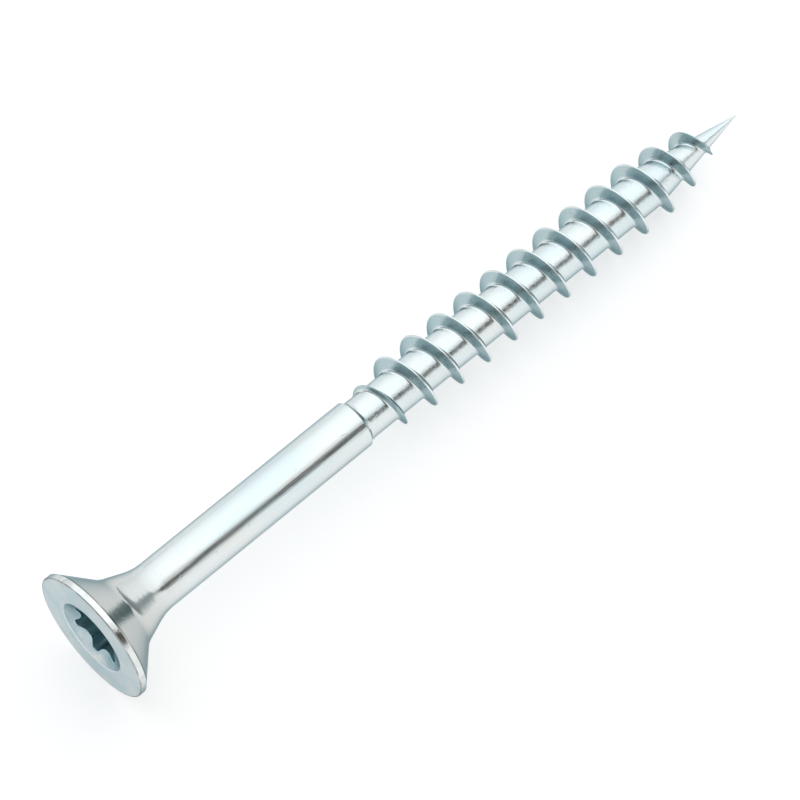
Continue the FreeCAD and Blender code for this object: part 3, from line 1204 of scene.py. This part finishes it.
@dataclass(frozen=True)
class PlatedFinish:
    """Bright zinc plating over steel that was drawn, forged or rolled.

    The grain has so many marks to the millimetre as its fineness says. Its depth and the orange
    peel's are in millimetres. Its hollows are as smooth and its ridges as rough as the finish says.
    """

    name: str
    grain: Grain
    fineness: float
    depth: float
    smoothest: float
    roughest: float
    silver: Colour = (0.73, 0.76, 0.76, 1)
    blue: Colour = (0.66, 0.74, 0.76, 1)
    warm: Colour = (0.74, 0.73, 0.69, 1)
    grazing: Colour = (0.30, 0.40, 0.43, 1)
    worn: Colour = (0.86, 0.87, 0.87, 1)
    edge_wear: float = 0.6
    # Forge grey with painted shade, which the flare and shank turn to near the head, and how strongly.
    scaled: Colour = (0.58, 0.58, 0.56, 1)
    forged: float = 0.0
    # Painted shade on the thread's flanks: the darker colour and how much of it is mixed in.
    shaded: Colour = (0.40, 0.51, 0.53, 1)
    painted_flank_shade: float = 0.0
    burnt: Colour = (0.21, 0.18, 0.14, 1)
    die_seams: float = 0.0
    grain_low: float = 0.35
    grain_high: float = 0.75
    nick_depth: float = -0.3
    nick_roughness: float = 0.12
    orange_peel: float = 0.004
    peel_fineness: float = 5.0

    def colour(self, graph: Graph, effects: SharedEffects, own: dict[str, Socket]) -> Socket:
        """The plating's colour, with worn edges and seams, forge grey and painted shade under the head,
        and painted shade on the thread's flanks.

        Args:
            graph: The material's graph.
            effects: The shared node groups.
            own: The screw's own coordinates.

        Returns:
            The colour's socket.
        """
        tint = graph.placed(effects.plating_tint, {"Place": own["Place"], "Silver": self.silver,
                                                   "Blue": self.blue, "Warm": self.warm})["Color"]
        # Forge grey and painted shade: the flare and shank turn greyer towards the head.
        if self.forged:
            near_head = graph.placed(effects.forge_grey_and_shade, {"Along": own["Along"]})["Mask"]
            tint = graph.mixed(graph.math("MULTIPLY", near_head, self.forged), tint, self.scaled)
        # Painted shade: the thread's flanks are mixed towards the darker shaded colour.
        if self.painted_flank_shade:
            flank = graph.placed(effects.ridge_flank, {"Lift": own["Lift"]})["Mask"]
            tint = graph.mixed(graph.math("MULTIPLY", flank, self.painted_flank_shade), tint, self.shaded)
        edge = graph.placed(effects.worn_edge, dict(own))["Mask"]
        colour = graph.mixed(graph.math("MULTIPLY", edge, self.edge_wear), tint, self.worn)
        if self.die_seams:
            inputs = {label: own[label] for label in ("Place", "Along", "Radius")}
            seam = graph.placed(effects.die_seams, inputs)["Mask"]
            colour = graph.mixed(graph.math("MULTIPLY", seam, self.die_seams), colour, self.burnt)
        return colour

    def build(self, effects: SharedEffects) -> bpy.types.Material:
        """Makes the material.

        Args:
            effects: The shared node groups.

        Returns:
            The material.
        """
        material = bpy.data.materials.new(self.name)
        material.use_nodes = True
        material.node_tree.nodes.clear()
        graph = Graph(material.node_tree)
        own = graph.placed(effects.screw_frame)
        inputs: Inputs = {"Place": own["Place"], "Fineness": self.fineness}
        if self.grain is Grain.AROUND:
            inputs |= {"Along": own["Along"], "Radius": own["Radius"]}
        grain = graph.placed(effects.grains[self.grain], inputs)["Height"]
        even = {"Place": own["Place"], "Fineness": self.peel_fineness}
        satin = graph.placed(effects.grains[Grain.EVEN], even)["Height"]
        nick = graph.placed(effects.nicks, {"Place": own["Place"]})["Mask"]
        gloss = Ramp(self.grain_low, self.grain_high, self.smoothest, self.roughest)
        rough = graph.math("MULTIPLY_ADD", nick, self.nick_roughness, graph.between(grain, gloss))
        height = graph.math("MULTIPLY_ADD", nick, self.nick_depth, grain)
        fine = graph.add("ShaderNodeBump", {
            "Strength": 1.0, "Distance": self.depth * MM, "Height": height})
        peel = graph.add("ShaderNodeBump", {
            "Strength": 1.0, "Distance": self.orange_peel * MM, "Height": satin,
            "Normal": fine.outputs[0]})
        metal = graph.add("ShaderNodeBsdfPrincipled", {
            "Base Color": self.colour(graph, effects, own), "Metallic": 1.0, "Roughness": rough,
            "Normal": peel.outputs[0], "Specular Tint": self.grazing})
        graph.add("ShaderNodeOutputMaterial", {"Surface": metal.outputs[0]})
        return material


@dataclass(frozen=True)
class WoodScrew:
    """The whole screw, in place of the plain solid."""

    sizes: ScrewSizes = ScrewSizes()
    name: str = "plated_screw"

    @staticmethod
    def finishes() -> dict[Zone, PlatedFinish]:
        """The finish of each zone.

        Returns:
            One finish for every zone.
        """
        return {
            Zone.FACE: PlatedFinish(
                "stamped_face", Grain.EVEN, fineness=7.0, depth=0.018, smoothest=0.26, roughest=0.38,
                silver=(0.86, 0.88, 0.88, 1), blue=(0.73, 0.81, 0.83, 1), die_seams=0.7),
            # Painted shade: the dish is coloured darker and more teal than the face, so the hollow
            # round the star reads dark.
            Zone.DISH: PlatedFinish(
                "stamped_dish", Grain.EVEN, fineness=6.0, depth=0.012, smoothest=0.18, roughest=0.28,
                silver=(0.48, 0.56, 0.59, 1), blue=(0.34, 0.46, 0.50, 1)),
            # Painted shade: the recess is coloured darker and more teal than the face, for the shade
            # inside it.
            Zone.RECESS: PlatedFinish(
                "punched_recess", Grain.ALONG, fineness=2.4, depth=0.008, smoothest=0.20, roughest=0.32,
                silver=(0.46, 0.61, 0.65, 1), blue=(0.34, 0.53, 0.58, 1)),
            Zone.FLARE: PlatedFinish(
                "forged_flare", Grain.AROUND, fineness=3.0, depth=0.007, smoothest=0.13, roughest=0.22,
                forged=0.8, die_seams=0.8),
            Zone.SHANK: PlatedFinish(
                "drawn_shank", Grain.ALONG, fineness=3.2, depth=0.013, smoothest=0.12, roughest=0.24,
                forged=0.8),
            # The thread's flanks get painted shade.
            Zone.THREAD: PlatedFinish(
                "rolled_thread", Grain.EVEN, fineness=4.0, depth=0.009, smoothest=0.15, roughest=0.27,
                painted_flank_shade=0.88),
        }

    def build(self) -> bpy.types.Object:
        """Makes the screw and hides the solid that it stands for.

        Returns:
            The screw's object.
        """
        place = RestingPlace(self.sizes)
        skin = Skin()
        mouth = DriveRecess(self.sizes).build(skin)
        start = ForgedBlank(self.sizes).build(skin, mouth)
        RolledThread(self.sizes, place.crest_station).build(skin, start)
        mesh = skin.mesh(self.name, place)
        piece = bpy.data.objects.new(self.name, mesh)
        bpy.context.scene.collection.objects.link(piece)
        effects = SharedEffects(place)
        finishes = self.finishes()
        for zone in Zone:
            mesh.materials.append(finishes[zone].build(effects))
        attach(piece, "root")
        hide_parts("wood_screw")
        return piece


@dataclass(frozen=True)
class Table:
    """A pale table that keeps the screw's shadow and reads as white."""

    side: float = 0.8
    colour: Colour = (0.80, 0.81, 0.81, 1)
    white: Colour = (1, 1, 1, 1)
    glow: float = 2.0
    camera_share: float = 0.28
    bounced_share: float = 0.34

    def build(self) -> bpy.types.Object:
        """Makes the table.

        Returns:
            The table's object.
        """
        half = self.side / 2
        corners = [(-half, -half, 0), (half, -half, 0), (half, half, 0), (-half, half, 0)]
        mesh = bpy.data.meshes.new("table")
        mesh.from_pydata(corners, [], [(0, 1, 2, 3)])
        floor = bpy.data.objects.new("table", mesh)
        bpy.context.scene.collection.objects.link(floor)
        material = bpy.data.materials.new("pale_table")
        material.use_nodes = True
        material.node_tree.nodes.clear()
        graph = Graph(material.node_tree)
        path = graph.add("ShaderNodeLightPath").outputs
        bounced = graph.math("ADD", path["Is Glossy Ray"], path["Is Transmission Ray"])
        seen = graph.math("MULTIPLY", path["Is Camera Ray"], self.camera_share)
        lift = graph.math("MULTIPLY_ADD", bounced, self.bounced_share, seen)
        matt = graph.add("ShaderNodeBsdfDiffuse", {"Color": self.colour}).outputs[0]
        glow = graph.add("ShaderNodeEmission", {"Color": self.white, "Strength": self.glow}).outputs[0]
        mix = graph.add("ShaderNodeMixShader", {0: lift, 1: matt, 2: glow})
        graph.add("ShaderNodeOutputMaterial", {"Surface": mix.outputs[0]})
        mesh.materials.append(material)
        return floor


@dataclass(frozen=True)
class Surround:
    """What the metal reflects: a grey tent, a bright card low at the front and a dark gap over it."""

    foot: Colour = (0.30, 0.36, 0.38, 1)
    bands: tuple[tuple[float, Colour], ...] = (
        (0.10, (0.22, 0.28, 0.30, 1)), (0.45, (0.40, 0.46, 0.48, 1)))
    top: Colour = (0.62, 0.68, 0.70, 1)
    front: Triple = (-0.25, -1.0, 0.0)
    front_edge: Ramp = Ramp(0.15, 0.5)
    card: Colour = (1.12, 1.15, 1.15, 1)
    card_top: Ramp = Ramp(0.52, 0.36)
    gap: Colour = (0.10, 0.095, 0.085, 1)
    gap_foot: Ramp = Ramp(0.42, 0.56)
    diffuse: Colour = (0.40, 0.42, 0.43, 1)
    backdrop: Colour = (1, 1, 1, 1)

    def build(self) -> bpy.types.World:
        """Makes the world: the tent in reflections, plain light on matt surfaces, white to the camera.

        Returns:
            The world.
        """
        world = bpy.data.worlds.new("white_tent")
        bpy.context.scene.world = world
        world.use_nodes = True
        world.node_tree.nodes.clear()
        graph = Graph(world.node_tree)
        direction = graph.add("ShaderNodeTexCoord").outputs["Generated"]
        height = graph.add("ShaderNodeSeparateXYZ", {0: direction}).outputs["Z"]
        ramp = graph.add("ShaderNodeValToRGB", {0: height})
        stops = ramp.color_ramp.elements
        stops[0].color, stops[1].color = self.foot, self.top
        for position, colour in self.bands:
            stops.new(position).color = colour
        front = graph.between(graph.dot(direction, self.front), self.front_edge)
        low = graph.math("MULTIPLY", graph.between(height, self.card_top), front)
        card = graph.mixed(low, ramp.outputs["Color"], self.card)
        over = graph.math("MULTIPLY", graph.between(height, self.gap_foot), front)
        tent = graph.mixed(over, card, self.gap)
        path = graph.add("ShaderNodeLightPath").outputs
        lit = graph.mixed(path["Is Glossy Ray"], self.diffuse, tent)
        direct = graph.math("MAXIMUM", path["Is Camera Ray"], path["Is Transmission Ray"])
        seen = graph.mixed(direct, lit, self.backdrop)
        back = graph.add("ShaderNodeBackground", {"Color": seen, "Strength": 1.0})
        graph.add("ShaderNodeOutputWorld", {"Surface": back.outputs[0]})
        return world


@dataclass(frozen=True)
class Softbox:
    """A broad lamp high behind the screw that looks at its middle."""

    place: Triple = (0.12, 0.158, 0.324)
    width: float = 0.9
    height: float = 1.25
    brightness: float = 0.78

    def build(self) -> bpy.types.Object:
        """Makes the lamp.

        Returns:
            The lamp's object.
        """
        light = bpy.data.lights.new("broad_softbox", "AREA")
        light.shape = "RECTANGLE"
        light.size = self.width
        light.size_y = self.height
        light.energy = self.brightness * math.pi * self.width * self.height
        lamp = bpy.data.objects.new("broad_softbox", light)
        lamp.location = self.place
        back = Vector(self.place).normalized()
        side = (Vector((1, 0, 0)) - back * back.x).normalized()
        lamp.rotation_euler = Matrix((side, back.cross(side), back)).transposed().to_euler()
        lamp.visible_camera = False
        bpy.context.scene.collection.objects.link(lamp)
        return lamp


@dataclass(frozen=True)
class StudioCamera:
    """The camera at the photograph's angle, with the screw from lower left to upper right."""

    lens: float = 250.0
    sensor: float = 36.0
    view_width: float = 0.0545
    elevation: float = 65.0
    heading: tuple[float, float] = (0.680, 0.733)
    aim: Triple = (-0.0022, -0.0003, 0.0025)
    nearest: float = 0.01
    furthest: float = 20.0

    def build(self) -> bpy.types.Object:
        """Makes the camera and sets it as the scene's own.

        Returns:
            The camera's object.
        """
        data = bpy.data.cameras.new("camera")
        data.lens = self.lens
        data.sensor_width = self.sensor
        data.clip_start, data.clip_end = self.nearest, self.furthest
        camera = bpy.data.objects.new("camera", data)
        rise = math.radians(self.elevation)
        flat = Vector((*self.heading, 0)).normalized()
        back = Vector((0, 0, 1)) * math.sin(rise) - flat * math.cos(rise)
        distance = self.view_width * self.lens / self.sensor
        camera.location = Vector(self.aim) + back * distance
        camera.rotation_euler = (-back).to_track_quat("-Z", "Y").to_euler()
        bpy.context.scene.collection.objects.link(camera)
        bpy.context.scene.camera = camera
        return camera


def main() -> None:
    """Builds the screw and what stands round it, and reports each."""
    logging.basicConfig(level=logging.INFO, format="%(name)s %(message)s")
    bpy.context.scene.view_settings.view_transform = "Standard"
    screw = WoodScrew().build()
    LOG.info("%s: %d faces", screw.name, len(screw.data.polygons))
    for surrounding in (Table(), Surround(), Softbox(), StudioCamera()):
        LOG.info("%s: in place", surrounding.build().name)


if __name__ == "__main__":
    main()
